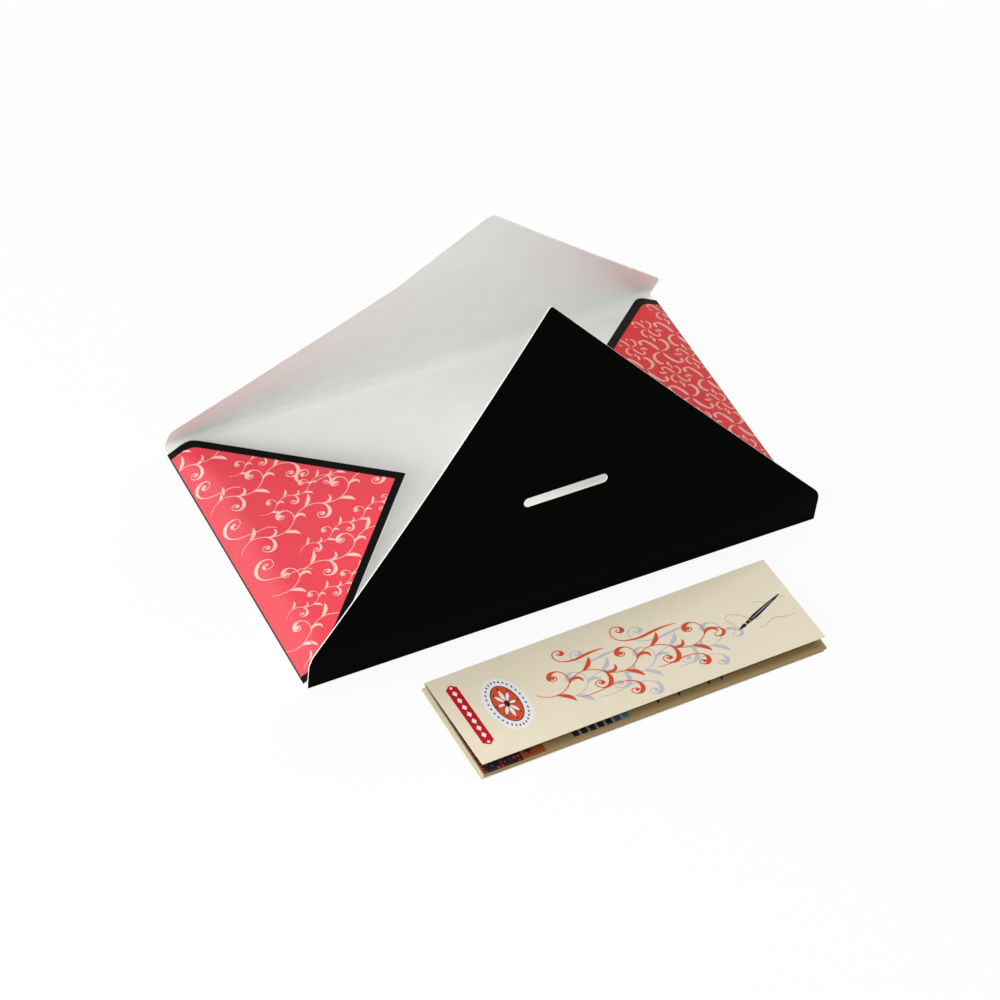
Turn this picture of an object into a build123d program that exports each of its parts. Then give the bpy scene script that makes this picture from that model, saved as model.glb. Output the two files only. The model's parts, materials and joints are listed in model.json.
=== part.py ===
from build123d import *
import os
from math import cos, radians, sin

# Folding card presentation box for a calligraphy set, shown open with its
# accordion leaflet lying in front.  One die-cut card blank: a floor panel,
# four gusset walls creased to it, and a pointed flap creased to each wall.
# Millimetres and degrees.  +Z is up, the front crease is on -Y, and the
# origin is the middle of the underside of the floor panel.

# ---- Card blank ----------------------------------------------------------
FLOOR_WIDTH = 318.0        # left crease to right crease
FLOOR_DEPTH = 212.5        # front crease to rear crease
BOARD = 0.8                # thickness of the card
CREASE_GAP = 0.15          # a panel stops this short of each of its creases

# ---- Front wing: tall gusset and the flap with the closing slot ----------
FRONT_WALL = 25.0          # height of the gusset
FRONT_FLAP = 185.0         # gusset crease to the point
FRONT_TIP_RADIUS = 1.5
SLOT_LENGTH = 51.3
SLOT_HEIGHT = 5.9
SLOT_RISE = 62.6           # gusset crease to the middle of the slot

# ---- Rear wing: gusset, flap and the tongue that tucks into the slot -----
REAR_WALL = 25.0
REAR_FLAP = 159.0          # gusset crease to the tongue crease
TONGUE_ROOT = 97.0         # width of the wing at the tongue crease
TONGUE = 57.7              # tongue crease to the point, before rounding
TONGUE_TIP_RADIUS = 5.0
SHOULDER_RADIUS = 14.0     # where the front and rear flaps leave their gussets

# ---- Side wings: low gussets and the two pointed side flaps --------------
SIDE_WALL = 15.0
SIDE_FLAP = 97.3           # gusset crease to the point
SIDE_TIP_RADIUS = 1.0
SIDE_SHOULDER_RADIUS = 16.0
RELIEF_FRONT = 3.0         # a side gusset stops short of the front crease
RELIEF_REAR = 7.5          # and further short of the leaning rear wing

# ---- How far each panel is folded up, measured from lying flat inwards ---
FRONT_WALL_TILT = 100.3
FRONT_FLAP_TILT = (86.1, 77.3)     # at its crease, and at its point
REAR_WALL_TILT = 61.5
REAR_FLAP_TILT = (59.1, 59.9)
TONGUE_TILT = (67.9, 67.9)
LEFT_WALL_TILT = 28.0
LEFT_FLAP_TILT = (12.0, 12.0)
RIGHT_WALL_TILT = 30.0
RIGHT_FLAP_TILT = (27.0, 27.0)

# ---- Leaflet: one sheet folded like an accordion into four leaves --------
LEAF_WIDTH = 215.0
LEAF_DEPTH = 75.0          # the three inner leaves
COVER_DEPTH = 71.5         # the cover is cut a little short
PAPER = 0.3
FOLD_GAP = 0.16            # clear space between two leaves at their fold
LEAF_STAGGER = 0.8         # each lower leaf lies this much further left
LEAF_SPREAD = (0.8, 1.2, 2.6)      # tilt of the third, second and cover leaf
LEAFLET_AT = (-99.5, -134.1)       # rear left corner of the cover, in plan
LEAFLET_TURN = 1.7

os.makedirs("parts", exist_ok=True)


def heading(tilt):
    """Unit step along a panel, as (inwards, upwards)."""
    return Vector(cos(radians(tilt)), sin(radians(tilt)))


def bend_end(length, tilts):
    """Where a panel that turns evenly from one tilt to another ends."""
    chord_tilt = (tilts[0] + tilts[1]) / 2
    half_turn = radians(abs(tilts[1] - tilts[0])) / 2
    chord = length * sin(half_turn) / half_turn if half_turn else length
    return heading(chord_tilt) * chord


def sheet_section(length, tilts, thickness):
    """Section of a card panel: its inner face starts at the crease."""
    inner_end = bend_end(length, tilts)
    inner_mid = bend_end(length / 2, (tilts[0], sum(tilts) / 2))
    out_start, out_mid, out_end = [
        heading(t + 90) * thickness for t in (tilts[0], sum(tilts) / 2, tilts[1])
    ]
    if tilts[0] == tilts[1]:
        corners = [Vector(0, 0), inner_end, inner_end + out_end, out_start]
        return make_face(Polyline(*corners, close=True))
    inner = ThreePointArc(Vector(0, 0), inner_mid, inner_end)
    outer = ThreePointArc(out_start, inner_mid + out_mid, inner_end + out_end)
    start = Line(out_start, Vector(0, 0))
    end = Line(inner_end, inner_end + out_end)
    return make_face([inner, end, outer, start])


def round_corner(face, at, radius):
    """Round the one corner of a flat outline that lies nearest to a point."""
    corner = face.vertices().sort_by_distance(Vector(*at))[0]
    return fillet([corner], radius)


def wing_outline(corners, rounds):
    """Flat outline of a whole wing, u along the crease and s away from it."""
    face = make_face(Polyline(*[Vector(*c) for c in corners], close=True))
    for at, radius in rounds:
        face = round_corner(face, at, radius)
    return face


def band(outline, start, end):
    """The part of a wing between two distances from its floor crease."""
    low, high = start + CREASE_GAP, end - CREASE_GAP
    strip = Pos(0, (low + high) / 2) * Rectangle(2 * FLOOR_WIDTH, high - low)
    return outline & strip


def panel(outline, start, end, tilts, crease):
    """One card panel of a wing that faces -Y, its floor crease on the X axis.

    crease is where its own crease lies, as (inwards, upwards)."""
    length = end - start
    section = sheet_section(length, tilts, BOARD)
    side_view = Plane(
        origin=(0, crease.X, crease.Y), x_dir=(0, 1, 0), z_dir=(1, 0, 0)
    )
    sheet = extrude(side_view * section, FLOOR_WIDTH, both=True)
    mean = heading(sum(tilts) / 2)
    flat_view = Plane(
        origin=(0, crease.X, crease.Y),
        x_dir=(1, 0, 0),
        z_dir=(0, -mean.Y, mean.X),
    )
    flat = Pos(0, -start) * band(outline, start, end)
    bow = length * radians(abs(tilts[1] - tilts[0]))
    cutter = extrude(flat_view * flat, bow + 2 * BOARD, both=True)
    return sheet & cutter


def wing(outline, lengths, tilts):
    """All the panels of one wing, from the floor crease outwards."""
    panels = []
    crease, start = Vector(0, 0), 0
    for length, tilt in zip(lengths, tilts):
        end = start + length
        panels.append(panel(outline, start, end, tilt, crease))
        crease = crease + bend_end(length, tilt)
        start = end
    return panels


def seat(panels, reach, turn):
    """Put a wing's floor crease on its side of the floor panel."""
    place = Rot(0, 0, turn) * Pos(0, -reach, BOARD)
    return [place * each for each in panels]


# ---- Floor panel ----------------------------------------------------------
floor_panel = Pos(0, 0, BOARD / 2) * Box(
    FLOOR_WIDTH - 2 * CREASE_GAP, FLOOR_DEPTH - 2 * CREASE_GAP, BOARD
)

# ---- Front wing -----------------------------------------------------------
half = FLOOR_WIDTH / 2
front_point = FRONT_WALL + FRONT_FLAP
front_outline = wing_outline(
    [(-half, 0), (half, 0), (half, FRONT_WALL), (0, front_point), (-half, FRONT_WALL)],
    [
        ((half, FRONT_WALL), SHOULDER_RADIUS),
        ((-half, FRONT_WALL), SHOULDER_RADIUS),
        ((0, front_point), FRONT_TIP_RADIUS),
    ],
)
slot = Pos(0, FRONT_WALL + SLOT_RISE) * SlotOverall(SLOT_LENGTH, SLOT_HEIGHT)
front_gusset, front_flap = seat(
    wing(
        front_outline - slot,
        (FRONT_WALL, FRONT_FLAP),
        ((FRONT_WALL_TILT, FRONT_WALL_TILT), FRONT_FLAP_TILT),
    ),
    FLOOR_DEPTH / 2,
    0,
)

# ---- Rear wing ------------------------------------------------------------
root = TONGUE_ROOT / 2
bend = REAR_WALL + REAR_FLAP
rear_outline = wing_outline(
    [
        (-half, 0),
        (half, 0),
        (half, REAR_WALL),
        (root, bend),
        (0, bend + TONGUE),
        (-root, bend),
        (-half, REAR_WALL),
    ],
    [
        ((half, REAR_WALL), SHOULDER_RADIUS),
        ((-half, REAR_WALL), SHOULDER_RADIUS),
        ((0, bend + TONGUE), TONGUE_TIP_RADIUS),
    ],
)
rear_gusset, rear_flap, rear_tongue = seat(
    wing(
        rear_outline,
        (REAR_WALL, REAR_FLAP, TONGUE),
        ((REAR_WALL_TILT, REAR_WALL_TILT), REAR_FLAP_TILT, TONGUE_TILT),
    ),
    FLOOR_DEPTH / 2,
    180,
)

# ---- Side wings: the right one is drawn, the left one mirrors its outline --
side_point = SIDE_WALL + SIDE_FLAP
front_end = -FLOOR_DEPTH / 2 + RELIEF_FRONT
rear_end = FLOOR_DEPTH / 2 - RELIEF_REAR


def side_outline(hand):
    ends = [(hand * front_end, 0), (hand * rear_end, 0)]
    shoulders = [(hand * rear_end, SIDE_WALL), (hand * front_end, SIDE_WALL)]
    corners = ends + [shoulders[0], (0, side_point), shoulders[1]]
    rounds = [(at, SIDE_SHOULDER_RADIUS) for at in shoulders]
    return wing_outline(corners, rounds + [((0, side_point), SIDE_TIP_RADIUS)])


right_gusset, right_flap = seat(
    wing(
        side_outline(1),
        (SIDE_WALL, SIDE_FLAP),
        ((RIGHT_WALL_TILT, RIGHT_WALL_TILT), RIGHT_FLAP_TILT),
    ),
    FLOOR_WIDTH / 2,
    90,
)
left_gusset, left_flap = seat(
    wing(
        side_outline(-1),
        (SIDE_WALL, SIDE_FLAP),
        ((LEFT_WALL_TILT, LEFT_WALL_TILT), LEFT_FLAP_TILT),
    ),
    FLOOR_WIDTH / 2,
    -90,
)

# ---- Leaflet --------------------------------------------------------------
# Each leaf is drawn with its fold on the X axis and its face towards -Y, and
# then tilted up about that fold.  A leaf that folds at the front runs back.


def leaf(depth, tilt, fold, rank, runs_back=False):
    """One paper leaf, lying just above the fold line given as (v, z)."""
    sheet = Box(
        LEAF_WIDTH,
        depth - CREASE_GAP,
        PAPER,
        align=(Align.MIN, Align.MAX, Align.MIN),
    )
    sheet = Pos(0, -CREASE_GAP, FOLD_GAP / 2) * sheet
    if runs_back:
        sheet = Pos(LEAF_WIDTH, 0, 0) * Rot(0, 0, 180) * sheet
        sheet = Rot(tilt, 0, 0) * sheet
    else:
        sheet = Rot(-tilt, 0, 0) * sheet
    return Pos(-rank * LEAF_STAGGER, -fold[0], fold[1]) * sheet


def next_fold(fold, depth, tilt, runs_back=False):
    """The fold at the far edge of a leaf, on its upper face."""
    rise = PAPER + FOLD_GAP
    run = depth * cos(radians(tilt)) - rise * sin(radians(tilt))
    step = -run if runs_back else run
    lift = depth * sin(radians(tilt)) + rise * cos(radians(tilt))
    return fold[0] + step, fold[1] + lift


low_fold = (0, PAPER + FOLD_GAP / 2)
front_fold = next_fold(low_fold, LEAF_DEPTH, LEAF_SPREAD[0])
cover_fold = next_fold(front_fold, LEAF_DEPTH, LEAF_SPREAD[1], True)
leaflet_place = Pos(*LEAFLET_AT, 0) * Rot(0, 0, LEAFLET_TURN)

bottom_leaf = leaf(LEAF_DEPTH, 0, (0, -FOLD_GAP / 2), 3)
third_leaf = leaf(LEAF_DEPTH, LEAF_SPREAD[0], low_fold, 2)
second_leaf = leaf(LEAF_DEPTH, LEAF_SPREAD[1], front_fold, 1, True)
cover_leaf = leaf(COVER_DEPTH, LEAF_SPREAD[2], cover_fold, 0)

nodes = {
    "floor_panel": floor_panel,
    "front_gusset": front_gusset,
    "front_flap": front_flap,
    "rear_gusset": rear_gusset,
    "rear_flap": rear_flap,
    "rear_tongue": rear_tongue,
    "left_gusset": left_gusset,
    "left_flap": left_flap,
    "right_gusset": right_gusset,
    "right_flap": right_flap,
    "leaflet_bottom": leaflet_place * bottom_leaf,
    "leaflet_third": leaflet_place * third_leaf,
    "leaflet_second": leaflet_place * second_leaf,
    "leaflet_cover": leaflet_place * cover_leaf,
}
for name, shape in nodes.items():
    export_step(shape, f"parts/{name}.step")
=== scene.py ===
"""Finishes, ornament, creases, leaflet prints and stage of a folding card box."""

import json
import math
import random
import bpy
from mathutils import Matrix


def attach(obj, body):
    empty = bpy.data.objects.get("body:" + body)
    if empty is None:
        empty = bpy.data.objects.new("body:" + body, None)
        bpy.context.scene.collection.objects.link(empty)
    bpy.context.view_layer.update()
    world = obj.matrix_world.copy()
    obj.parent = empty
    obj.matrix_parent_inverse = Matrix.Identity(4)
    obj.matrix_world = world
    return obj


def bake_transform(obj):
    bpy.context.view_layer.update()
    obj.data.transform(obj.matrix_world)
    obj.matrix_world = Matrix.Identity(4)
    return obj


bl_info = {
    "name": "Folding Card Box",
    "version": (1, 0, 0),
    "blender": (4, 5, 0),
    "location": "View3D > Sidebar > Card Box",
    "description": "Dresses the card blank and its leaflet, and lights them on a white table",
    "category": "Object",
}

import bmesh
import bpy
from bpy.props import FloatProperty, FloatVectorProperty, PointerProperty
from mathutils import Matrix, Vector

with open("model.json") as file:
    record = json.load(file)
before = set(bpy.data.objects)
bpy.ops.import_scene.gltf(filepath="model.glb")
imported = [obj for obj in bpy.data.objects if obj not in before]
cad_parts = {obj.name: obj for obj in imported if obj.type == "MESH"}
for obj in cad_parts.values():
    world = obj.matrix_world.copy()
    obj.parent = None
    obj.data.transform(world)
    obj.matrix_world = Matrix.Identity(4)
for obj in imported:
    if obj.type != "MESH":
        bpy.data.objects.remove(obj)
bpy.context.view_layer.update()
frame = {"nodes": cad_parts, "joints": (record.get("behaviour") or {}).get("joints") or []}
JOINTS = {joint["name"]: joint for joint in frame["joints"]}

# ---- Sizes of the blank and the leaflet, in metres, as the solids have them
MM = 0.001
BOARD = 0.8 * MM
SIDE_WALL = 15.0 * MM
SIDE_FLAP = 97.3 * MM
SIDE_FRONT = -103.25 * MM
SIDE_REAR = 98.75 * MM
PAPER = 0.3 * MM
FOLD_GAP = 0.16 * MM
LEAF_WIDTH = 215.0 * MM
COVER_DEPTH = 71.5 * MM
WING_REACH = SIDE_WALL + SIDE_FLAP
UP = Vector((0, 0, 1))

# ---- Surface of card and paper: scales of the noise, and how much it shows
MOTTLE_SCALE, GRAIN_SCALE = 60.0, 2400.0
MOTTLE_SHADE = 0.975  # the darker patches, as a share of the colour
MOTTLE_SHEEN, GRAIN_SHEEN = 0.06, 0.08  # how far each moves the roughness
GRAIN_HEIGHT = 0.004 * MM
MARGIN_ROUND = 8 * MM  # rounding of the margin at a side wing's shoulders
PRINT_EDGE = 0.05 * MM  # softness of a printed edge
BROAD_SIDE = 0.7  # cosine past which a face belongs to a broad side

# ---- Crease and fold strips
CREASE_CLEAR = 0.3 * MM  # from the end of the bend to the first flat ring
RING_SHARES = (1.0, 0.94, 0.75, 0.5, 0.25, 0.08)
BEND_STEP = math.radians(12)

# ---- Pen strokes
SAMPLES = 10  # samples on each arc of a stroke
EASING = 3  # times that its headings are smoothed
HAIR = 0.6  # width of its two ends, as a share of its thin width
RISE = 0.002  # its end lies this many millimetres above its start

# ---- Stage: where the lamps stand and what they and the camera look at
LAMPS = {
    "front": (-0.9, -1.3, 1.6),
    "side": (-2.0, -0.2, 0.9),
    "low": (-1.8, -1.0, 0.7),
    "right": (1.4, 0.3, 1.6),
    "back": (-1.0, 1.5, 1.4),
}
LAMP_SIZE = 1.0
LAMP_AIM = Vector((0.0, 0.0, 0.05))
CAMERA_AIM = Vector((1.418, -16.234, 0.0)) * MM
TABLE_REACH = 6.0
TABLE_DROP = 0.05 * MM  # the table lies this far below the box
TABLE_GLOW = 0.9  # how much of the table's look is plain white


# ==== Settings ====


def length(name, description, millimetres):
    return FloatProperty(
        name=name, description=description, default=millimetres * MM, unit="LENGTH"
    )


def colour(name, description, rgb):
    return FloatVectorProperty(
        name=name, description=description, default=rgb, size=3, subtype="COLOR"
    )


def level(name, description, value):
    return FloatProperty(name=name, description=description, default=value)


def power(name, description, watts):
    return FloatProperty(name=name, description=description, default=watts, subtype="POWER")


def angle(name, description, degrees):
    return FloatProperty(
        name=name, description=description, default=math.radians(degrees),
        subtype="ANGLE", unit="ROTATION",
    )


class CARDBOX_PG_card(bpy.types.PropertyGroup):
    """Printed and plain faces of the card blank."""

    border: length("Border", "Black margin round the red print of a side wing", 5.0)
    foot_line: length("Foot line", "Black line along the foot of a side wing", 0.2)
    reach: length("Crease reach", "How far a floor crease lies over each panel", 3.0)
    soft_reach: length("Soft crease reach", "How far a soft crease lies over each panel", 11.0)
    tongue_reach: length("Tongue crease reach", "The same for the tongue's crease", 17.0)
    fillet: length("Crease fillet", "Inner radius of a crease", 0.3)
    skin: length("Crease skin", "How far a crease stands proud of the card", 0.02)
    black: colour("Black", "Printed black of the front and rear wings", (0.0017, 0.0018, 0.0014))
    border_black: colour("Border black", "Black of the side wings' margin", (0.004, 0.005, 0.0047))
    red: colour("Red", "Printed red of the left wing", (0.735, 0.053, 0.075))
    # The right wing has the same red print as the left; its darker, deeper red is painted shade.
    right_red_painted_shade: colour("Right red with painted shade", "Printed red of the right wing", (0.71, 0.016, 0.023))
    blush: colour("Blush", "Ink of the left wing's ornament", (0.85, 0.51, 0.455))
    tan: colour("Tan", "Ink of the right wing's ornament", (0.78, 0.42, 0.33))
    red_roughness: level("Red roughness", "Sheen of the red", 0.3)
    red_gloss: level("Red gloss", "Varnish over the red", 0.62)
    lining: colour("Lining", "White inner face of the card", (0.878, 0.892, 0.868))
    lining_roughness: level("Lining roughness", "Sheen of the white inner face", 0.4)
    core: colour("Core", "Cut edge of the card", (0.88, 0.87, 0.84))


class CARDBOX_PG_leaflet(bpy.types.PropertyGroup):
    """Paper, folds and inks of the leaflet."""

    reach: length("Fold reach", "How far a fold lies over each leaf", 1.2)
    skin: length("Fold skin", "How far a fold stands proud of the paper", 0.01)
    cream: colour("Cream", "The leaflet's paper", (0.795, 0.712, 0.547))
    # Painted shade: the inner page's dark tan ground stands in for the shadow that the cover casts
    # on it.
    parchment: colour("Parchment", "Printed ground of the inner page", (0.29, 0.2, 0.09))
    orange: colour("Orange", "Ink of the cover's flourish", (0.62, 0.075, 0.022))
    slate: colour("Slate", "Ink of the flourish's shadow", (0.50, 0.51, 0.55))
    crimson: colour("Crimson", "Ink of the cover's bar", (0.50, 0.004, 0.012))
    dark: colour("Dark", "Ink of the pen and the small marks", (0.012, 0.012, 0.016))
    pale: colour("Pale", "White of the seal and the bar's lozenges", (0.80, 0.79, 0.80))
    rust: colour("Rust", "Ink of the block on the inner page", (0.26, 0.055, 0.012))
    navy: colour("Navy", "Ink of the dark swatches", (0.006, 0.009, 0.032))
    blue: colour("Blue", "Ink of the swatch before the last", (0.016, 0.06, 0.16))
    teal: colour("Teal", "Ink of the last swatch", (0.03, 0.16, 0.22))


class CARDBOX_PG_stage(bpy.types.PropertyGroup):
    """Camera, table and lamps."""

    azimuth: angle("Azimuth", "Camera heading", -24.977)
    elevation: angle("Elevation", "Camera height angle", 44.582)
    distance: length("Distance", "Camera to the point that it looks at", 2657.95)
    lens: FloatProperty(
        name="Lens", description="Focal length on a 36 mm sensor", default=165.0,
        subtype="DISTANCE_CAMERA",
    )
    sky: level("Sky", "Strength of the even white sky", 0.32)
    front: power("Front", "Power of the soft box on the front left", 13)
    side: power("Side", "Power of the soft box on the left", 18.5)
    low: power("Low", "Power of the low soft box on the left", 14.6)
    right: power("Right", "Power of the soft box above the right", 19)
    back: power("Back", "Power of the soft box at the back left", 7.5)
    table: colour("Table", "Colour of the table", (0.85, 0.85, 0.85))


# ==== Materials ====


class Wire:
    """One socket of a node tree, written as a value in an expression."""

    def __init__(self, finish, socket):
        self.finish = finish
        self.socket = socket

    def math(self, operation, *values):
        return self.finish.node("ShaderNodeMath", {"operation": operation}, [self, *values])

    def vector_math(self, operation, vector, output=0):
        values = [self, tuple(vector)]
        return self.finish.node("ShaderNodeVectorMath", {"operation": operation}, values, output)

    def __add__(self, other):
        return self.math("ADD", other)

    def __rsub__(self, other):
        return self.finish.node("ShaderNodeMath", {"operation": "SUBTRACT"}, [other, self])

    def __mul__(self, other):
        return self.math("MULTIPLY", other)

    def least(self, other):
        return self.math("MINIMUM", other)

    def soft_least(self, other, reach):
        return self.math("SMOOTH_MIN", other, reach)

    def step(self, low, high):
        """0 below low and 1 above high, with a smooth change between them."""
        settings = {"interpolation_type": "SMOOTHSTEP"}
        return self.finish.node("ShaderNodeMapRange", settings, [self, low, high, 0.0, 1.0])

    def dot(self, vector):
        return self.vector_math("DOT_PRODUCT", vector, "Value")

    def shift(self, vector):
        return self.vector_math("SUBTRACT", vector)


class Finish:
    """A material being made: its Principled shader and whatever feeds it."""

    def __init__(self, name, **constants):
        self.material = bpy.data.materials.new(name)
        self.material.use_nodes = True
        self.tree = self.material.node_tree
        self.shader = self.tree.nodes["Principled BSDF"]
        for socket, value in constants.items():
            self.shader.inputs[socket.replace("_", " ")].default_value = value
        self.place = self.node("ShaderNodeTexCoord", output="Object")

    def node(self, kind, settings=None, values=(), output=0):
        """Any node: its settings first, then values or wires in socket order."""
        made = self.tree.nodes.new(kind)
        for name, value in (settings or {}).items():
            setattr(made, name, value)
        sockets = [socket for socket in made.inputs if socket.enabled]
        pairs = values.items() if isinstance(values, dict) else enumerate(values)
        for key, value in pairs:
            socket = made.inputs[key] if isinstance(key, str) else sockets[key]
            if isinstance(value, Wire):
                self.tree.links.new(value.socket, socket)
            else:
                socket.default_value = value
        return Wire(self, made.outputs[output])

    def mix(self, factor, first, second):
        """A colour between two, each given as a wire or as three numbers."""
        ends = [end if isinstance(end, Wire) else (*end, 1.0) for end in (first, second)]
        result = 2  # the node's colour output comes after its number and its vector
        return self.node("ShaderNodeMix", {"data_type": "RGBA"}, [factor, *ends], result)

    def noise(self, scale, detail):
        values = {"Vector": self.place, "Scale": scale, "Detail": detail}
        return self.node("ShaderNodeTexNoise", None, values, "Fac")

    def feed(self, socket, wire):
        self.tree.links.new(wire.socket, self.shader.inputs[socket])

    def bump(self, height, distance, strength):
        values = {"Strength": strength, "Distance": distance, "Height": height}
        self.feed("Normal", self.node("ShaderNodeBump", None, values, "Normal"))


# ==== Panels of the blank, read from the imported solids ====


class Panel:
    """One panel or leaf: where its crease is, and which way it runs and faces.

    away runs from the crease along the panel and out is the normal of its
    outer or upper face, which is height from the crease's line."""

    def __init__(self, node, crease, facing=None):
        joint = JOINTS[crease]
        self.node = node
        self.body = joint["child"]
        self.origin = Vector(joint["pos_m"])
        self.along = Vector(joint["axis"]).normalized()
        faces = frame["nodes"][node].data.polygons
        large = max(face.area for face in faces) / 5  # more than any cut edge
        nearest = min(
            (face for face in faces if face.area > large),
            key=lambda face: (face.center - self.origin).length,
        )
        facing = facing or Vector((self.origin.x, self.origin.y, 0.0))
        self.out = nearest.normal.copy()
        if self.out.dot(facing) < 0:
            self.out.negate()
        self.away = self.out.cross(self.along).normalized()
        if self.away.z < 0:
            self.away.negate()
        upper = max(faces, key=lambda face: face.area * face.normal.dot(self.out))
        self.height = (upper.center - self.origin).dot(self.out)

    def sheet(self, right, x=0.0, y=0.0):
        """From a sheet in millimetres, whose corner is x, y off the crease, to the box."""
        across = self.out.cross(right)
        corner = self.origin + right * x + across * y + self.out * self.height
        turn = Matrix((right, across, self.out)).transposed()
        return Matrix.Translation(corner) @ turn.to_4x4() @ Matrix.Scale(MM, 4)


def section(node, point, direction):
    """Where a plane across a panel meets its edges, from a point of the plane."""
    mesh = frame["nodes"][node].data
    crossings = []
    for face in mesh.polygons:
        corners = [mesh.vertices[index].co for index in face.vertices]
        for first, second in zip(corners, corners[1:] + corners[:1]):
            a = (first - point).dot(direction)
            b = (second - point).dot(direction)
            if (a < 0) != (b < 0):
                crossings.append(first.lerp(second, a / (a - b)) - point)
    return crossings


HANDS = ("front", "rear", "left", "right")
PANELS = {
    f"{hand}_{part}": Panel(f"{hand}_{part}", f"{hand}_{part}_crease")
    for hand in HANDS
    for part in ("gusset", "flap")
}
PANELS["rear_tongue"] = Panel("rear_tongue", "tongue_crease")
LEAVES = {
    f"leaflet_{leaf}": Panel(f"leaflet_{leaf}", f"leaflet_fold_{fold}", UP)
    for leaf, fold in (("third", "low"), ("second", "front"), ("cover", "cover"))
}


# ==== Card finishes ====


def paper(name, tint, roughness, specular, print_on=None):
    """Card or paper: mottled colour, a fine grain and an uneven sheen."""
    finish = Finish(name, Specular_IOR_Level=specular, Coat_Roughness=roughness)
    mottle = finish.noise(MOTTLE_SCALE, 4.0)
    grain = finish.noise(GRAIN_SCALE, 2.0)
    base = finish.mix(mottle.step(0.3, 0.7), tint, [part * MOTTLE_SHADE for part in tint])
    finish.feed("Base Color", print_on(finish, base) if print_on else base)
    base_sheen = roughness - (MOTTLE_SHEEN + GRAIN_SHEEN) / 2
    finish.feed("Roughness", mottle * MOTTLE_SHEEN + grain * GRAIN_SHEEN + base_sheen)
    finish.bump(grain, GRAIN_HEIGHT, 0.6)
    return finish.material


def wing_print(panel, start, settings):
    """A matt black margin round the varnished red of a side wing."""

    def margin(finish, red):
        local = finish.place.shift(panel.origin - panel.away * start)
        x = local.dot(panel.away)
        y = local.dot((0, 1, 0))
        ends = []
        for end in (SIDE_FRONT, SIDE_REAR):
            sign = math.copysign(1.0, end)
            slope = Vector((abs(end), SIDE_FLAP)).normalized()
            straight = abs(end) - y * sign
            sloping = slope.x * WING_REACH - (x * slope.x + y * (sign * slope.y))
            ends.append(straight.soft_least(sloping, MARGIN_ROUND))
        border, foot = settings.border, settings.foot_line
        within = ends[0].least(ends[1]).step(border - PRINT_EDGE, border + PRINT_EDGE)
        above = x.step(foot - PRINT_EDGE, foot + PRINT_EDGE)
        finish.feed("Coat Weight", within * settings.red_gloss)
        return finish.mix(within * above, settings.border_black, red)

    return margin


def coat(node, panel_out, lining, outer, core):
    """Put one finish on each side of a packed panel and one on its cut edges."""
    mesh = frame["nodes"][node].data
    mesh.materials.clear()
    for material in (lining, core, outer):
        mesh.materials.append(material)
    for face in mesh.polygons:
        facing = face.normal.dot(panel_out)
        face.material_index = 0 if facing < -BROAD_SIDE else 2 if facing > BROAD_SIDE else 1


class CARDBOX_OT_card(bpy.types.Operator):
    """Finish the panels of the blank: white inside, printed outside."""

    bl_idname = "card_box.card"
    bl_label = "Card Panels"

    def execute(self, context):
        settings = context.scene.card_box_card
        lining = paper("lining", settings.lining, settings.lining_roughness, specular=0.5)
        core = paper("cut_edge", settings.core, roughness=0.8, specular=0.2)
        black = paper("black_print", settings.black, roughness=0.6, specular=0.01)
        coat("floor_panel", Vector((0, 0, -1)), lining, black, core)
        for node, panel in PANELS.items():
            outer = black
            if "left" in node or "right" in node:
                start = 0.0 if "gusset" in node else SIDE_WALL
                margin = wing_print(panel, start, settings)
                # The right wing's red is the left wing's red with painted shade.
                red = settings.red if "left" in node else settings.right_red_painted_shade
                outer = paper(f"{node}_print", red, settings.red_roughness, 0.05, margin)
            coat(node, panel.out, lining, outer, core)
        return {"FINISHED"}


# ==== Mesh helpers ====


def loft(bm, rings, slots):
    """A closed solid through rings of four points, grown ring by ring.

    Each side has its own material slot, and the caps have that of the second
    side. The layer called ring numbers the rings."""
    rank = bm.verts.layers.int.new("rank")
    number = bm.verts.layers.int.new("ring")
    first = [bm.verts.new(point) for point in rings[0]]
    for index, vert in enumerate(first):
        vert[rank] = index
    cap = bm.faces.new(first)
    cap.material_index = slots[1]
    for index, ring in enumerate(rings[1:], 1):
        inside = cap
        grown = bmesh.ops.extrude_face_region(bm, geom=[cap])["geom"]
        cap = next(item for item in grown if isinstance(item, bmesh.types.BMFace))
        if index > 1 and inside.is_valid:
            bmesh.ops.delete(bm, geom=[inside], context="FACES_ONLY")
        for vert in cap.verts:
            vert.co = ring[vert[rank]]
            vert[number] = index
        for edge in cap.edges:
            side = next(face for face in edge.link_faces if face is not cap)
            ranks = sorted(vert[rank] for vert in edge.verts)
            side.material_index = slots[3 if ranks == [0, 3] else ranks[0]]


def finish_mesh(bm, name, materials, body=None, sharp=()):
    """Turn a bmesh into a piece of the scene that rides on a body."""
    bmesh.ops.recalc_face_normals(bm, faces=bm.faces)
    bmesh.ops.split_edges(bm, edges=list(sharp))
    mesh = bpy.data.meshes.new(name)
    bm.to_mesh(mesh)
    bm.free()
    for material in materials:
        mesh.materials.append(material)
    piece = bpy.data.objects.new(name, mesh)
    bpy.context.scene.collection.objects.link(piece)
    if body:
        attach(piece, body)
    return piece


# ==== Creases ====


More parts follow.
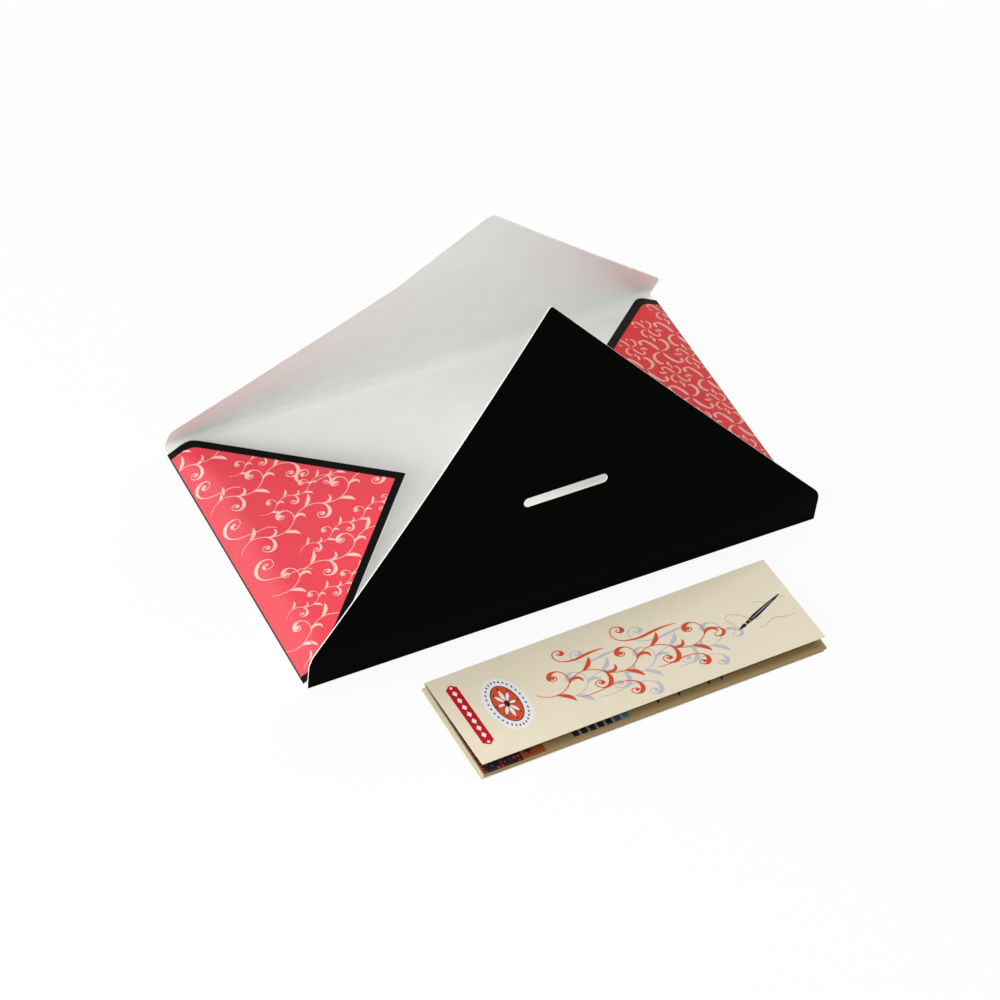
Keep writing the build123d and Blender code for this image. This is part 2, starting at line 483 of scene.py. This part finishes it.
class Crease:
    """The bent strip of card between two panels, as rings across it.

    ways holds the outward normal of each ring: with soft set it turns evenly
    from one end of the strip to the other, and otherwise only at the bend."""

    def __init__(self, before, after, board, reach, fillet, skin, gap=0.0, soft=False):
        self.before, self.after = before, after
        self.low, self.high = gap - skin, gap + board + skin
        self.skin, self.gap = skin, gap
        self.corner, self.along = after.origin, after.along
        turn = before.away.angle(after.away)
        inward = before.away.dot(after.out) > 0
        clear = (fillet - gap) * math.tan(turn / 2) + CREASE_CLEAR
        near = [self.section(panel, clear)[:2] for panel in (before, after)]
        self.shared = (
            (max(near[0][0], near[1][0]), min(near[0][1], near[1][1]))
            if before.node == "floor_panel"
            else tuple((first + last) / 2 for first, last in zip(*near))
        )
        steps = [clear + (reach - clear) * part for part in RING_SHARES]
        self.rings = [self.flat(before, step, step == steps[0]) for step in steps]
        self.ways = [self.way(-step / reach if soft else -1) for step in steps]
        self.bend(turn, inward, fillet, soft)
        self.rings += [self.flat(after, step, step == steps[0]) for step in steps[::-1]]
        self.ways += [self.way(step / reach if soft else 1) for step in steps[::-1]]

    def way(self, place):
        """The normal at a place from -1, at the strip's start, to 1, at its end."""
        share = (place + 1) / 2
        return self.before.out.slerp(self.after.out, share * share * (3 - 2 * share))

    def section(self, panel, step):
        """How far a panel reaches at a step from the crease: along it and across its board."""
        away = panel.away * (-1 if panel is self.before else 1)
        crossings = section(panel.node, self.corner + away * step, away)
        along = [crossing.dot(self.along) for crossing in crossings]
        out = [crossing.dot(panel.out) for crossing in crossings]
        return min(along), max(along), min(out), max(out)

    def ring(self, inner, outer, span):
        low, high = (self.along * end for end in span)
        return [inner + low, inner + high, outer + high, outer + low]

    def flat(self, panel, step, sunk):
        """A ring on a panel; the end rings are sunk in it."""
        low, high, inner, outer = self.section(panel, step)
        if self.before.node == "floor_panel":
            low, high = max(low, self.shared[0]), min(high, self.shared[1])
        point = self.corner + panel.away * (-step if panel is self.before else step)
        skin = -self.skin if sunk else self.skin
        return self.ring(point + panel.out * (inner - skin), point + panel.out * (outer + skin),
                         (low - skin, high + skin))

    def bend(self, turn, inward, fillet, soft):
        """Rings round the fold: arcs inwards, or one mitre outwards."""
        middle = (self.before.out + self.after.out).normalized()
        across = math.cos(turn / 2)
        span = (self.shared[0] - self.skin, self.shared[1] + self.skin)
        if not inward:
            inner = self.corner + middle * (self.low / across)
            self.rings.append(self.ring(inner, self.corner + middle * (self.high / across), span))
            self.ways.append(middle)
            return
        centre = self.corner - middle * ((fillet - self.gap) / across)
        count = max(2, math.ceil(turn / BEND_STEP))
        for index in range(count + 1):
            way = self.before.out.slerp(self.after.out, index / count)
            inner = centre + way * (fillet - self.skin)
            self.rings.append(self.ring(inner, self.corner + way * self.high, span))
            self.ways.append(middle if soft else way)


class Underside:
    """What comes before a crease: a panel whose far end the crease is at."""

    def __init__(self, node, out, away):
        self.node, self.out, self.away = node, out, away


def crease_piece(name, crease, materials, reach):
    """Make a crease strip as one piece, shaded by the normals of its rings."""
    bm = bmesh.new()
    loft(bm, crease.rings, slots=(0, 1, 2, 1))
    number = bm.verts.layers.int["ring"]
    ends = (0, len(crease.rings) - 1)
    sharp = [edge for edge in bm.edges
             if edge.verts[0][number] != edge.verts[1][number] or edge.verts[0][number] in ends]
    piece = finish_mesh(bm, name, materials, sharp=sharp)
    shade(piece.data, crease.ways)
    before, after = crease.before, crease.after
    start = after.origin - before.away * reach
    end = after.origin + after.away * reach
    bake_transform(piece)


def shade(mesh, ways):
    """Give the two broad sides of a strip the normals of its rings."""
    number = [each.value for each in mesh.attributes["ring"].data]
    normals = [None] * len(mesh.loops)
    for face in mesh.polygons:
        for loop, vert in zip(face.loop_indices, face.vertices):
            way = ways[number[vert]]
            side = math.copysign(1, face.normal.dot(way))
            normals[loop] = face.normal.copy() if face.material_index == 1 else way * side
    mesh.polygons.foreach_set("use_smooth", [True] * len(mesh.polygons))
    mesh.normals_split_custom_set(normals)


class CARDBOX_OT_creases(bpy.types.Operator):
    """Bent strips of card that join each panel to the next one."""

    bl_idname = "card_box.creases"
    bl_label = "Creases"

    def execute(self, context):
        settings = context.scene.card_box_card
        for hand in HANDS:
            slot = "red_card" if hand in ("left", "right") else "black_card"
            gusset, flap = PANELS[f"{hand}_gusset"], PANELS[f"{hand}_flap"]
            outwards = Vector((gusset.origin.x, gusset.origin.y, 0.0)).normalized()
            floor = Underside("floor_panel", -UP, outwards)
            self.strip(f"{hand}_floor_crease", floor, gusset, "floor", slot, settings,
                       settings.soft_reach if hand == "rear" else None)
            self.strip(f"{hand}_wing_crease", gusset, flap, gusset.body, slot, settings,
                       settings.soft_reach)
        flap, tongue = PANELS["rear_flap"], PANELS["rear_tongue"]
        self.strip("rear_tongue_crease", flap, tongue, flap.body, "black_card", settings,
                   settings.tongue_reach)
        return {"FINISHED"}

    def strip(self, name, before, after, body, slot, settings, soft_reach=None):
        reach = soft_reach or settings.reach
        crease = Crease(before, after, BOARD, reach, settings.fillet, settings.skin,
                        soft=bool(soft_reach))
        materials = list(frame["nodes"][after.node].data.materials)
        crease_piece(name, crease, materials, settings.reach)


# ==== Pen strokes ====


def path(at, heading, legs):
    """Points and headings in degrees along eased arcs of (length, turn)."""
    lengths, headings = [], []
    for reach, turn in legs:
        for step in range(SAMPLES):
            lengths.append(reach / SAMPLES)
            headings.append(heading + turn * (step + 0.5) / SAMPLES)
        heading += turn
    for _ in range(EASING):
        inner = zip(headings, headings[1:], headings[2:])
        headings[1:-1] = [(first + 2 * second + third) / 4 for first, second, third in inner]
    x, y = at
    points = [at]
    for reach, way in zip(lengths, headings):
        x += reach * math.cos(math.radians(way))
        y += reach * math.sin(math.radians(way))
        points.append((x, y))
    between = [(first + second) / 2 for first, second in zip(headings, headings[1:])]
    return points, [headings[0], *between, headings[-1]]


def pointed(slant=55):
    """A pointed nib, which swells on the downstroke: 0 to 1 by heading."""
    return lambda heading: max(0.0, math.cos(math.radians(heading - slant - 180))) ** 1.6


def broad(slant):
    """A broad nib, which is widest across its own slant."""
    return lambda heading: abs(math.sin(math.radians(heading - slant)))


def even(pressure=1.0):
    """A nib whose pressure doesn't change."""
    return lambda heading: pressure


def stroke(at, heading, legs, widths, press=pointed(), taper=0.12):
    """One pen stroke as (x, y, heading, width) samples, fine at both ends."""
    points, headings = path(at, heading, legs)
    thin, thick = widths
    samples = []
    for index, (point, way) in enumerate(zip(points, headings)):
        width = thin + (thick - thin) * press(way)
        along = index / (len(points) - 1)
        ease = min(1.0, along / taper, (1 - along) / taper)
        width = thin * HAIR + (width - thin * HAIR) * math.sin(math.pi / 2 * ease)
        samples.append((*point, way, width))
    return samples


def scaled(legs, size, side=1):
    """Arcs at another size, bending the other way where side is -1."""
    return [(reach * size, side * turn) for reach, turn in legs]


# Shapes of strokes, as arcs of (length, turn) for a size of 1
FIDDLEHEAD = [(0.12, 180), (0.35, 180), (0.7, 180), (1.3, 170), (1.2, 40), (0.6, -60)]
TENDRIL = [(0.45, 75), (0.42, 130), (0.26, 160), (0.15, 180), (0.07, 150)]
CURL = [(0.5, 120), (0.35, 150), (0.2, 170)]
BUD = [(0.22, 60), (0.25, 100)]
LEAF = [(0.25, 25), (0.25, 35)]
SWEEP = [(26, 20), (20, -40), (16, -100), (11, -130), (7, -150), (4, -160)]


def vine(at, heading, count, arc, widths, first, bend=100):
    """A running scroll: a waved stem with a tendril, a bud and a leaf at each wave."""
    thin, thick = widths
    start = heading + first * bend / 2
    waves = [(arc, -first * (-1) ** wave * bend) for wave in range(count)]
    curl = scaled(CURL, arc, -first * (-1) ** count)
    strokes = [stroke(at, start, waves + curl, (thin, thick * 0.8))]
    for wave in range(count):
        side = -first * (-1) ** wave
        points, headings = path(at, start, waves[: wave + 1])
        tip, way = points[-1], start + sum(turn for _, turn in waves[: wave + 1])
        half = wave * SAMPLES + SAMPLES // 2
        strokes += [
            stroke(tip, way, scaled(TENDRIL, arc, side), widths),
            stroke(tip, way, scaled(BUD, arc, -side), (thin * 1.5, thick * 1.1), even(0.6), 0.5),
            stroke(points[half], headings[half] - side * 20, scaled(LEAF, arc, -side),
                   (thin, thick * 1.2), even(0.8), 0.5),
        ]
    return strokes


# ==== Ink ====


def thicken(bm, verts, low, high):
    """Raise flat faces into a closed plate."""
    faces = list({face for vert in verts for face in vert.link_faces})
    for vert in verts:
        vert.co.z += low
    grown = bmesh.ops.extrude_face_region(bm, geom=faces, use_keep_orig=True)["geom"]
    raised = [item for item in grown if isinstance(item, bmesh.types.BMVert)]
    for vert in raised:
        vert.co.z += high - low


def ribbon(bm, samples, low, high):
    """A closed ribbon of ink along a stroke, rising a little from end to end."""
    count = len(samples)
    made = bmesh.ops.create_grid(bm, x_segments=count - 1, y_segments=1, size=1.0)["verts"]
    for index, vert in enumerate(made):
        x, y, heading, width = samples[index % count]
        side = (width if index >= count else -width) / 2
        normal = math.radians(heading + 90)
        vert.co = (x + side * math.cos(normal), y + side * math.sin(normal),
                   RISE * (index % count) / count)
    thicken(bm, made, low, high)


def plate(bm, outline, low, high):
    """A closed plate of ink with any outline."""
    made = bmesh.ops.create_circle(bm, cap_ends=True, segments=len(outline), radius=1.0)["verts"]
    for vert, (x, y) in zip(made, outline):
        vert.co = (x, y, 0.0)
    thicken(bm, made, low, high)


class Ink:
    """Ink of one colour on one panel, drawn flat in millimetres and then laid on it.

    Its shapes are stacked in turn over a few thin layers, so that none shares a
    surface with the next. Ink of a higher level lies over all of a lower one."""

    DEPTH = 0.01  # below the panel's face
    LIFT = 0.05  # above it
    LAYER = 0.003
    LAYERS = 4

    def __init__(self, level=0):
        self.bm = bmesh.new()
        self.part = bpy.data.meshes.new("ink_part")
        self.level = level
        self.count = 0

    def add(self, shape, outline):
        """Add one shape, made in a small bmesh of its own because that is quick."""
        self.count += 1
        layer = self.level * self.LAYERS + self.count % self.LAYERS
        bm = bmesh.new()
        shape(bm, outline, -self.DEPTH, self.LIFT + self.LAYER * layer)
        bm.to_mesh(self.part)
        bm.free()
        self.bm.from_mesh(self.part)

    def strokes(self, strokes):
        for each in strokes:
            self.add(ribbon, each)
        return self

    def plates(self, outlines):
        for each in outlines:
            self.add(plate, each)
        return self

    def keep(self, point, normal):
        """Cut off all that lies beyond a line, and close the cut."""
        normal = Vector((*normal, 0.0))
        everything = [*self.bm.verts, *self.bm.edges, *self.bm.faces]
        bmesh.ops.bisect_plane(self.bm, geom=everything, plane_co=(*point, 0.0),
                               plane_no=normal, clear_outer=True)
        open_edges = [edge for edge in self.bm.edges if edge.is_boundary]
        bmesh.ops.holes_fill(self.bm, edges=open_edges)
        return self

    def lay(self, name, sheet, material, body, slot):
        bpy.data.meshes.remove(self.part)
        bmesh.ops.transform(self.bm, matrix=sheet, verts=self.bm.verts)
        piece = finish_mesh(self.bm, name, [material], body)


# ==== Ornament on the side wings ====

# Rows of scrolls on the left wing, as (x, y, waves, side of the first), and the
# spirals between them, as (x, y, size), from the middle of the wing's foot
LARGE_ROWS = ((-8, 77, 4, 1), (3, 39, 5, 1), (6, 0, 5, 1), (10, -38, 5, -1), (0, -77, 4, -1))
SMALL_ROWS = ((2, 95, 3, -1), (24, 58, 4, -1), (28, 20, 5, -1), (36, -19, 5, 1),
              (10, -58, 5, 1), (4, -95, 4, 1))
LARGE_ARC, LARGE_PEN = 21, (0.45, 2.3)
SMALL_ARC, SMALL_PEN = 12.5, (0.3, 1.45)
SPIRALS = ((9, 60, 13), (12, 22, 15), (16, -17, 16), (62, 34, 11))
SCROLL_HEADING, SPIRAL_HEADING = 8, -25

# The right wing's rosettes: slant of their rows, how far apart they stand, and
# how large those of the even and of the odd rows are
ROW_SLANT = 42
PITCH = 31.0
ROSETTES = (PITCH * 0.62, PITCH * 0.4)

# How far the ornament keeps off the wing's foot, its crease and its margin
FOOT_CLEAR, FOLD_CLEAR, MARGIN_CLEAR = 0.3, 0.15, 0.1


def left_ornament():
    """Rows of running scrolls, large and small by turns, with a pointed nib."""
    strokes = []
    for rows, arc, pen in ((LARGE_ROWS, LARGE_ARC, LARGE_PEN), (SMALL_ROWS, SMALL_ARC, SMALL_PEN)):
        for x, y, count, first in rows:
            strokes += vine((x, y), SCROLL_HEADING, count, arc, pen, first)
    for x, y, size in SPIRALS:
        strokes.append(stroke((x, y), SPIRAL_HEADING, scaled(FIDDLEHEAD, size), LARGE_PEN))
    return strokes


def right_ornament():
    """Slanting rows of large and small rosettes by turns, in a broad nib."""
    slant = math.radians(ROW_SLANT)
    along = Vector((math.cos(slant), math.sin(slant)))
    across = Vector((-along.y, along.x))
    strokes = []
    for row in range(-11, 12):
        for step in range(-5, 7):
            spot = Vector((30, 0)) + across * (row * PITCH * 0.5)
            spot += along * ((step + row % 2 / 2) * PITCH)
            on_wing = -4 < spot.x < 105 and abs(spot.y) < 110 - 0.9 * spot.x
            if on_wing:
                strokes += rosette(spot, ROSETTES[row % 2])
    return strokes


def rosette(at, size):
    """Four bent petals of a broad nib, and a lozenge between each two."""
    strokes, nib = [], broad(20)
    for quarter in range(4):
        way = math.radians(ROW_SLANT + quarter * 90)
        ahead = Vector((math.cos(way), math.sin(way)))
        aside = Vector((ahead.x - ahead.y, ahead.x + ahead.y))
        petal = [(size * 0.5, 50), (size * 0.34, 90), (size * 0.14, 90)]
        strokes.append(stroke(tuple(at + ahead * size * 0.08), math.degrees(way) - 32, petal,
                              (size * 0.04, size * 0.145), nib, 0.1))
        strokes.append(stroke(tuple(at + aside * size * 0.36), math.degrees(way) + 20,
                              [(size * 0.22, 20)], (0.4, size * 0.125), nib, 0.3))
    return strokes


class CARDBOX_OT_ornament(bpy.types.Operator):
    """Pen ornament printed on the red of the side wings."""

    bl_idname = "card_box.ornament"
    bl_label = "Wing Ornament"

    def execute(self, context):
        settings = context.scene.card_box_card
        self.wing("left", left_ornament, "blush", 1, settings)
        self.wing("right", right_ornament, "tan", -1, settings)
        return {"FINISHED"}

    def wing(self, hand, design, tint, facing, settings):
        """The ornament of one wing, cut at its margin and at its crease."""
        slot = f"{tint}_ink"
        material = paper(slot, getattr(settings, tint), settings.red_roughness, specular=0.5)
        crease = SIDE_WALL / MM
        for part in ("gusset", "flap"):
            ink = Ink().strokes(design())
            self.trim(ink, facing, settings.border / MM + MARGIN_CLEAR)
            if part == "gusset":
                ink.keep((FOOT_CLEAR, 0), (-1, 0)).keep((crease - FOLD_CLEAR, 0), (1, 0))
            else:
                ink.keep((crease + FOLD_CLEAR, 0), (-1, 0))
            panel = PANELS[f"{hand}_{part}"]
            start = 0.0 if part == "gusset" else -SIDE_WALL
            sheet = panel.sheet(panel.away, start)
            ink.lay(f"{hand}_{part}_ornament", sheet, material, panel.body, slot)

    def trim(self, ink, facing, margin):
        """Cut along the inside of the black margin."""
        reach = WING_REACH / MM
        for end in (SIDE_FRONT / MM * facing, SIDE_REAR / MM * facing):
            sign = math.copysign(1.0, end)
            slope = Vector((abs(end), sign * SIDE_FLAP / MM)).normalized()
            ink.keep((0, end - sign * margin), (0, sign))
            ink.keep((reach - margin / slope.x, 0), slope)


# ==== Leaflet ====

# Slot names of the record, one for each ink of the leaflet
INK_SLOTS = {
    "orange": "orange_ink", "slate": "slate_ink", "crimson": "crimson_ink",
    "dark": "dark_ink", "pale": "white_card", "rust": "orange_ink",
    "navy": "dark_ink", "blue": "slate_ink", "teal": "slate_ink",
}

# Places on the cover and on the inner page, in millimetres from the front left
# corner of each
BAR_X, BAR_LOW, BAR_HIGH, BAR_WIDTH = 10.9, 12, 63, 6.8
SEAL, SEAL_RIM, SEAL_OVAL = (33.2, 35.8), (12.4, 21.4), (7.3, 14.8)
PEN_TIP, PEN_SLANT = Vector((174.5, 27.0)), math.radians(24.5)
SWEEPS = ((146, 49, 172, 0.74), (101, 50, 172, 0.58), (72, 21, -8, 0.68), (121, 22, -8, 0.56))
SHADOW_SHIFT = (9, -5)
DARK_PANEL = (0.2, 0.8, 24, 72)
RUST_BLOCK = (24.2, 1.0, 14, 60)
TILE_ROWS, TILE_COLUMNS, TILE_PITCH = 26, 9, (2.6, 2.7)
SWATCH_PITCH = 5.15


def flourish():
    """Large running flourish of the cover: a vine and four sweeps off it."""
    wide = (0.6, 2.8)
    strokes = vine((50, 34), 0, 5, 24.5, wide, -1, bend=112)
    for x, y, heading, size in SWEEPS:
        strokes.append(stroke((x, y), heading, scaled(SWEEP, size), wide))
    return strokes


def moved(strokes, x, y):
    return [[(a + x, b + y, way, width) for a, b, way, width in each] for each in strokes]


def ellipse(centre, radii, count=48):
    x, y = centre
    angles = [2 * math.pi * index / count for index in range(count)]
    return [(x + radii[0] * math.cos(a), y + radii[1] * math.sin(a)) for a in angles]


def lozenge(centre, width, height):
    return ellipse(centre, (width / 2, height / 2), 4)


def block(x, y, width, height):
    return [(x, y), (x + width, y), (x + width, y + height), (x, y + height)]


def loop(outline, width):
    """A closed line of even width round an outline."""
    samples = []
    closed = [*outline, *outline[:2]]
    for first, second in zip(closed, closed[1:]):
        way = math.degrees(math.atan2(second[1] - first[1], second[0] - first[0]))
        samples.append((*first, way, width))
    return samples


def bar(x, low, high, width):
    """An upright bar whose two ends have shoulders and a round middle."""
    half, neck, shoulder, rise = width / 2, 0.62, 1.8, 3.4
    cap = [(half, 0), (half, 1.2), (half * neck, shoulder)]
    dome = [(half * neck * math.cos(a), shoulder + 1.6 * math.sin(a)) for a in (0.5, 1.1, 1.57)]
    right = cap + dome
    top = right + [(-u, v) for u, v in right[-2::-1]]
    upper = [(x + u, high - rise + v) for u, v in top]
    return upper + [(x - u, low + rise - v) for u, v in top]


class CARDBOX_OT_leaflet(bpy.types.Operator):
    """Paper and folds of the leaflet, the prints on its cover and inner page, and the painted shade
    of the inner page's tan ground.
    """

    bl_idname = "card_box.leaflet"
    bl_label = "Leaflet"

    def execute(self, context):
        settings = context.scene.card_box_leaflet
        cream = paper("cream", settings.cream, roughness=0.55, specular=0.3)
        # The inner page's tan ground is painted shade, standing in for the cover's shadow on it.
        parchment = paper("parchment_print", settings.parchment, roughness=0.55, specular=0.3)
        for node in ("leaflet_bottom", *LEAVES):
            printed = parchment if node == "leaflet_second" else cream
            out = LEAVES[node].out if node in LEAVES else UP
            coat(node, out, cream, printed, cream)
        self.folds(cream, settings)
        self.inks = {
            name: paper(f"{name}_ink", getattr(settings, name), roughness=0.5, specular=0.3)
            for name in INK_SLOTS
        }
        self.leaf = LEAVES["leaflet_cover"]
        self.sheet = self.leaf.sheet(-self.leaf.along, -LEAF_WIDTH / 2, -COVER_DEPTH)
        self.cover()
        self.seal()
        self.pen()
        self.leaf = LEAVES["leaflet_second"]
        self.sheet = self.leaf.sheet(self.leaf.along, -LEAF_WIDTH / 2)
        self.page()
        return {"FINISHED"}

    def folds(self, cream, settings):
        leaves = list(LEAVES.values())
        flat = Vector((-leaves[0].away.x, -leaves[0].away.y, 0.0)).normalized()
        bottom = Underside("leaflet_bottom", -UP, flat)
        before = [bottom] + [Underside(leaf.node, -leaf.out, leaf.away) for leaf in leaves]
        for first, second in zip(before, leaves):
            crease = Crease(first, second, PAPER, settings.reach, FOLD_GAP / 2, settings.skin,
                            FOLD_GAP / 2)
            outer = frame["nodes"][second.node].data.materials[2]
            crease_piece(f"{second.node}_fold", crease, [cream, cream, outer],
                         settings.reach)

    def lay(self, name, colour, ink):
        ink.lay(name, self.sheet, self.inks[colour], self.leaf.body, INK_SLOTS[colour])

    def cover(self):
        """The flourish with its shadow, and the upright bar at the left end."""
        self.lay("cover_shadow", "slate", Ink().strokes(moved(flourish(), *SHADOW_SHIFT)))
        self.lay("cover_flourish", "orange", Ink(1).strokes(flourish()))
        outline = bar(BAR_X, BAR_LOW, BAR_HIGH, BAR_WIDTH)
        self.lay("cover_bar", "crimson", Ink().plates([outline]))
        lozenges = [lozenge((BAR_X, y), 2.9, 4.8) for y in range(20, 58, 6)]
        dots = [ellipse((BAR_X, y), (0.8, 1.0), 12) for y in (14.1, 60.9)]
        self.lay("cover_bar_lozenges", "pale", Ink(1).plates(lozenges + dots))

    def seal(self):
        """An oval sticker with a ring of dashes and a rosette."""
        self.lay("seal", "pale", Ink().plates([ellipse(SEAL, SEAL_RIM)]))
        self.lay("seal_oval", "orange", Ink(1).plates([ellipse(SEAL, SEAL_OVAL)]))
        dashes = [ellipse(point, (0.45, 0.95), 8) for point in ellipse(SEAL, (9.9, 18.3), 30)]
        ring = loop(ellipse(SEAL, (7.4, 14.9)), 0.5)
        self.lay("seal_ring", "dark", Ink(2).plates(dashes).strokes([ring]))
        petals, sepals = [], []
        for petal in range(8):
            turn = petal * math.pi / 4
            across, ahead = math.cos(turn), math.sin(turn)
            way = math.degrees(math.atan2(ahead * 2, across))
            start = (SEAL[0] + across * 1.3, SEAL[1] + ahead * 2.4)
            reach = math.hypot(across * 4.2, ahead * 8.6)
            petals.append(stroke(start, way, [(reach, 0)], (0.3, 2.0), even(), 0.5))
            end = (SEAL[0] + across * 6.0, SEAL[1] + ahead * 12.4)
            sepals.append(ellipse(end, (0.45, 0.8), 8))
        self.lay("seal_petals", "pale", Ink(2).strokes(petals))
        heart = ellipse(SEAL, (1.5, 2.6), 20)
        self.lay("seal_heart", "dark", Ink(3).plates([heart, *sepals]))

    def pen(self):
        """A dip pen, and the hairlines that it draws."""
        ahead = Vector((math.cos(PEN_SLANT), math.sin(PEN_SLANT)))
        aside = Vector((-ahead.y, ahead.x))

        def outline(*profile):
            """The outline of a part of the pen, as (along it, half its width)."""
            upper = [PEN_TIP + ahead * along + aside * half for along, half in profile]
            lower = [PEN_TIP + ahead * along - aside * half for along, half in reversed(profile)]
            return upper + lower

        nib = outline((0, 0.06), (3.2, 0.9), (5.2, 1.25), (6.6, 0.9))
        ferrule = outline((7.2, 0.95), (10.0, 1.25))
        barrel = outline((10.4, 1.3), (16, 1.75), (24, 1.35), (34, 0.7), (37.6, 0.35))
        self.lay("cover_pen", "dark", Ink(1).plates([nib, ferrule, barrel]))
        shine = outline((12, 0.12), (22, 0.2), (31, 0.08))
        self.lay("cover_pen_shine", "slate", Ink(2).plates([shine]))
        fine = (0.14, 0.26)
        hairs = [
            stroke((174, 27), 70, [(9, 60), (8, -150), (9, -40), (10, 60)], fine),
            stroke((186, 24), -20, [(7, 60), (9, -70), (9, 50)], fine),
            stroke((192, 43), 10, [(6, -60), (8, 80), (6, -60)], fine),
        ]
        self.lay("cover_hairline", "dark", Ink().strokes(hairs))

    def page(self):
        """The inner page that shows in front of the cover and at its left end."""
        self.lay("page_block", "rust", Ink().plates([block(*RUST_BLOCK)]))
        self.lay("page_panel", "dark", Ink().plates([block(*DARK_PANEL)]))
        colours = ("teal", "crimson", "rust", "navy")
        tiles = {name: [] for name in colours}
        chance = random.Random(5)
        across, up = TILE_PITCH
        for row in range(TILE_ROWS):
            for column in range(TILE_COLUMNS):
                size = chance.uniform(0.8, 1.9)
                name = chance.choice((*colours, "navy"))
                tiles[name].append(block(0.7 + column * across, 1.2 + row * up, size, size))
        for name, outlines in tiles.items():
            self.lay(f"page_tiles_{name}", name, Ink(1).plates(outlines))
        swatches = [block(56.5 + index * SWATCH_PITCH, 3.2, 3.6, 9) for index in range(7)]
        for name, some in (("navy", swatches[:5]), ("blue", swatches[5:6]), ("teal", swatches[6:])):
            self.lay(f"page_swatches_{name}", name, Ink().plates(some))
        ticks = [stroke((x, 8.5), -100, [(4.0, -20)], (0.3, 1.3), even(), 0.3)
                 for x in (111, 124, 143, 151)]
        star = [lozenge((29, 6), 1.8, 6.4), lozenge((29, 6), 7.0, 2.0)]
        self.lay("page_marks", "dark", Ink(1).strokes(ticks).plates(star))
        squiggles = [stroke((x, 8), -60, [(2, 120), (2, -140), (2, 100)], (0.3, 1.1), even(), 0.3)
                     for x in (173, 179, 186)]
        self.lay("page_squiggles", "rust", Ink(1).strokes(squiggles))


# ==== Stage ====


class CARDBOX_OT_stage(bpy.types.Operator):
    """Camera, white table, white sky and soft lamps."""

    bl_idname = "card_box.stage"
    bl_label = "Stage"

    def execute(self, context):
        settings = context.scene.card_box_stage
        self.camera(settings)
        self.table(settings)
        self.sky(settings)
        for name, place in LAMPS.items():
            self.lamp(f"{name}_lamp", getattr(settings, name), Vector(place))
        return {"FINISHED"}

    def camera(self, settings):
        lens = bpy.data.cameras.new("camera")
        lens.lens = settings.lens
        camera = bpy.data.objects.new("camera", lens)
        across = math.cos(settings.elevation)
        back = Vector((
            math.sin(settings.azimuth) * across,
            -math.cos(settings.azimuth) * across,
            math.sin(settings.elevation),
        ))
        camera.location = CAMERA_AIM + back * settings.distance
        camera.rotation_euler = (-back).to_track_quat("-Z", "Y").to_euler()
        bpy.context.scene.collection.objects.link(camera)
        bpy.context.scene.camera = camera

    def table(self, settings):
        bm = bmesh.new()
        bmesh.ops.create_grid(bm, x_segments=1, y_segments=1, size=TABLE_REACH)
        bmesh.ops.translate(bm, verts=bm.verts, vec=(0, 0, -TABLE_DROP))
        finish = Finish("table", Roughness=0.8, Specular_IOR_Level=0.0)
        finish.shader.inputs["Base Color"].default_value = (*settings.table, 1.0)
        seen = finish.node("ShaderNodeLightPath", output="Is Camera Ray")
        glow = finish.node("ShaderNodeEmission", None, [(1, 1, 1, 1), 1.0])
        shader = Wire(finish, finish.shader.outputs[0])
        mixed = finish.node("ShaderNodeMixShader", None, [seen * TABLE_GLOW, shader, glow])
        output = finish.tree.nodes["Material Output"]
        finish.tree.links.new(mixed.socket, output.inputs["Surface"])
        table = finish_mesh(bm, "table", [finish.material])

    def sky(self, settings):
        world = bpy.data.worlds.new("white_sky")
        bpy.context.scene.world = world
        world.use_nodes = True
        tree = world.node_tree
        light = tree.nodes["Background"]
        light.inputs["Color"].default_value = (1, 1, 1, 1)
        light.inputs["Strength"].default_value = settings.sky
        seen = tree.nodes.new("ShaderNodeBackground")
        seen.inputs["Color"].default_value = (1, 1, 1, 1)
        paths = tree.nodes.new("ShaderNodeLightPath")
        mix = tree.nodes.new("ShaderNodeMixShader")
        tree.links.new(paths.outputs["Is Camera Ray"], mix.inputs[0])
        tree.links.new(light.outputs[0], mix.inputs[1])
        tree.links.new(seen.outputs[0], mix.inputs[2])
        tree.links.new(mix.outputs[0], tree.nodes["World Output"].inputs["Surface"])

    def lamp(self, name, watts, place):
        light = bpy.data.lights.new(name, "AREA")
        light.energy = watts
        light.size = LAMP_SIZE
        lamp = bpy.data.objects.new(name, light)
        lamp.location = place
        lamp.rotation_euler = (LAMP_AIM - place).to_track_quat("-Z", "Y").to_euler()
        bpy.context.scene.collection.objects.link(lamp)


class CARDBOX_PT_sidebar(bpy.types.Panel):
    """Lists the pieces of the box and its stage."""

    bl_label = "Card Box"
    bl_space_type = "VIEW_3D"
    bl_region_type = "UI"
    bl_category = "Card Box"

    def draw(self, context):
        for operator in OPERATORS:
            self.layout.operator(operator.bl_idname)


OPERATORS = (CARDBOX_OT_card, CARDBOX_OT_creases, CARDBOX_OT_ornament,
             CARDBOX_OT_leaflet, CARDBOX_OT_stage)
GROUPS = {
    "card_box_card": CARDBOX_PG_card,
    "card_box_leaflet": CARDBOX_PG_leaflet,
    "card_box_stage": CARDBOX_PG_stage,
}
CLASSES = (*GROUPS.values(), *OPERATORS, CARDBOX_PT_sidebar)


def register():
    for each in CLASSES:
        bpy.utils.register_class(each)
    for name, group in GROUPS.items():
        setattr(bpy.types.Scene, name, PointerProperty(type=group))


def unregister():
    for name in GROUPS:
        delattr(bpy.types.Scene, name)
    for each in reversed(CLASSES):
        bpy.utils.unregister_class(each)


def main():
    register()
    bpy.context.scene.view_settings.view_transform = "Standard"
    for operator in OPERATORS:
        name = operator.bl_idname.split(".")[1]
        getattr(bpy.ops.card_box, name)()


if __name__ == "__main__":
    main()
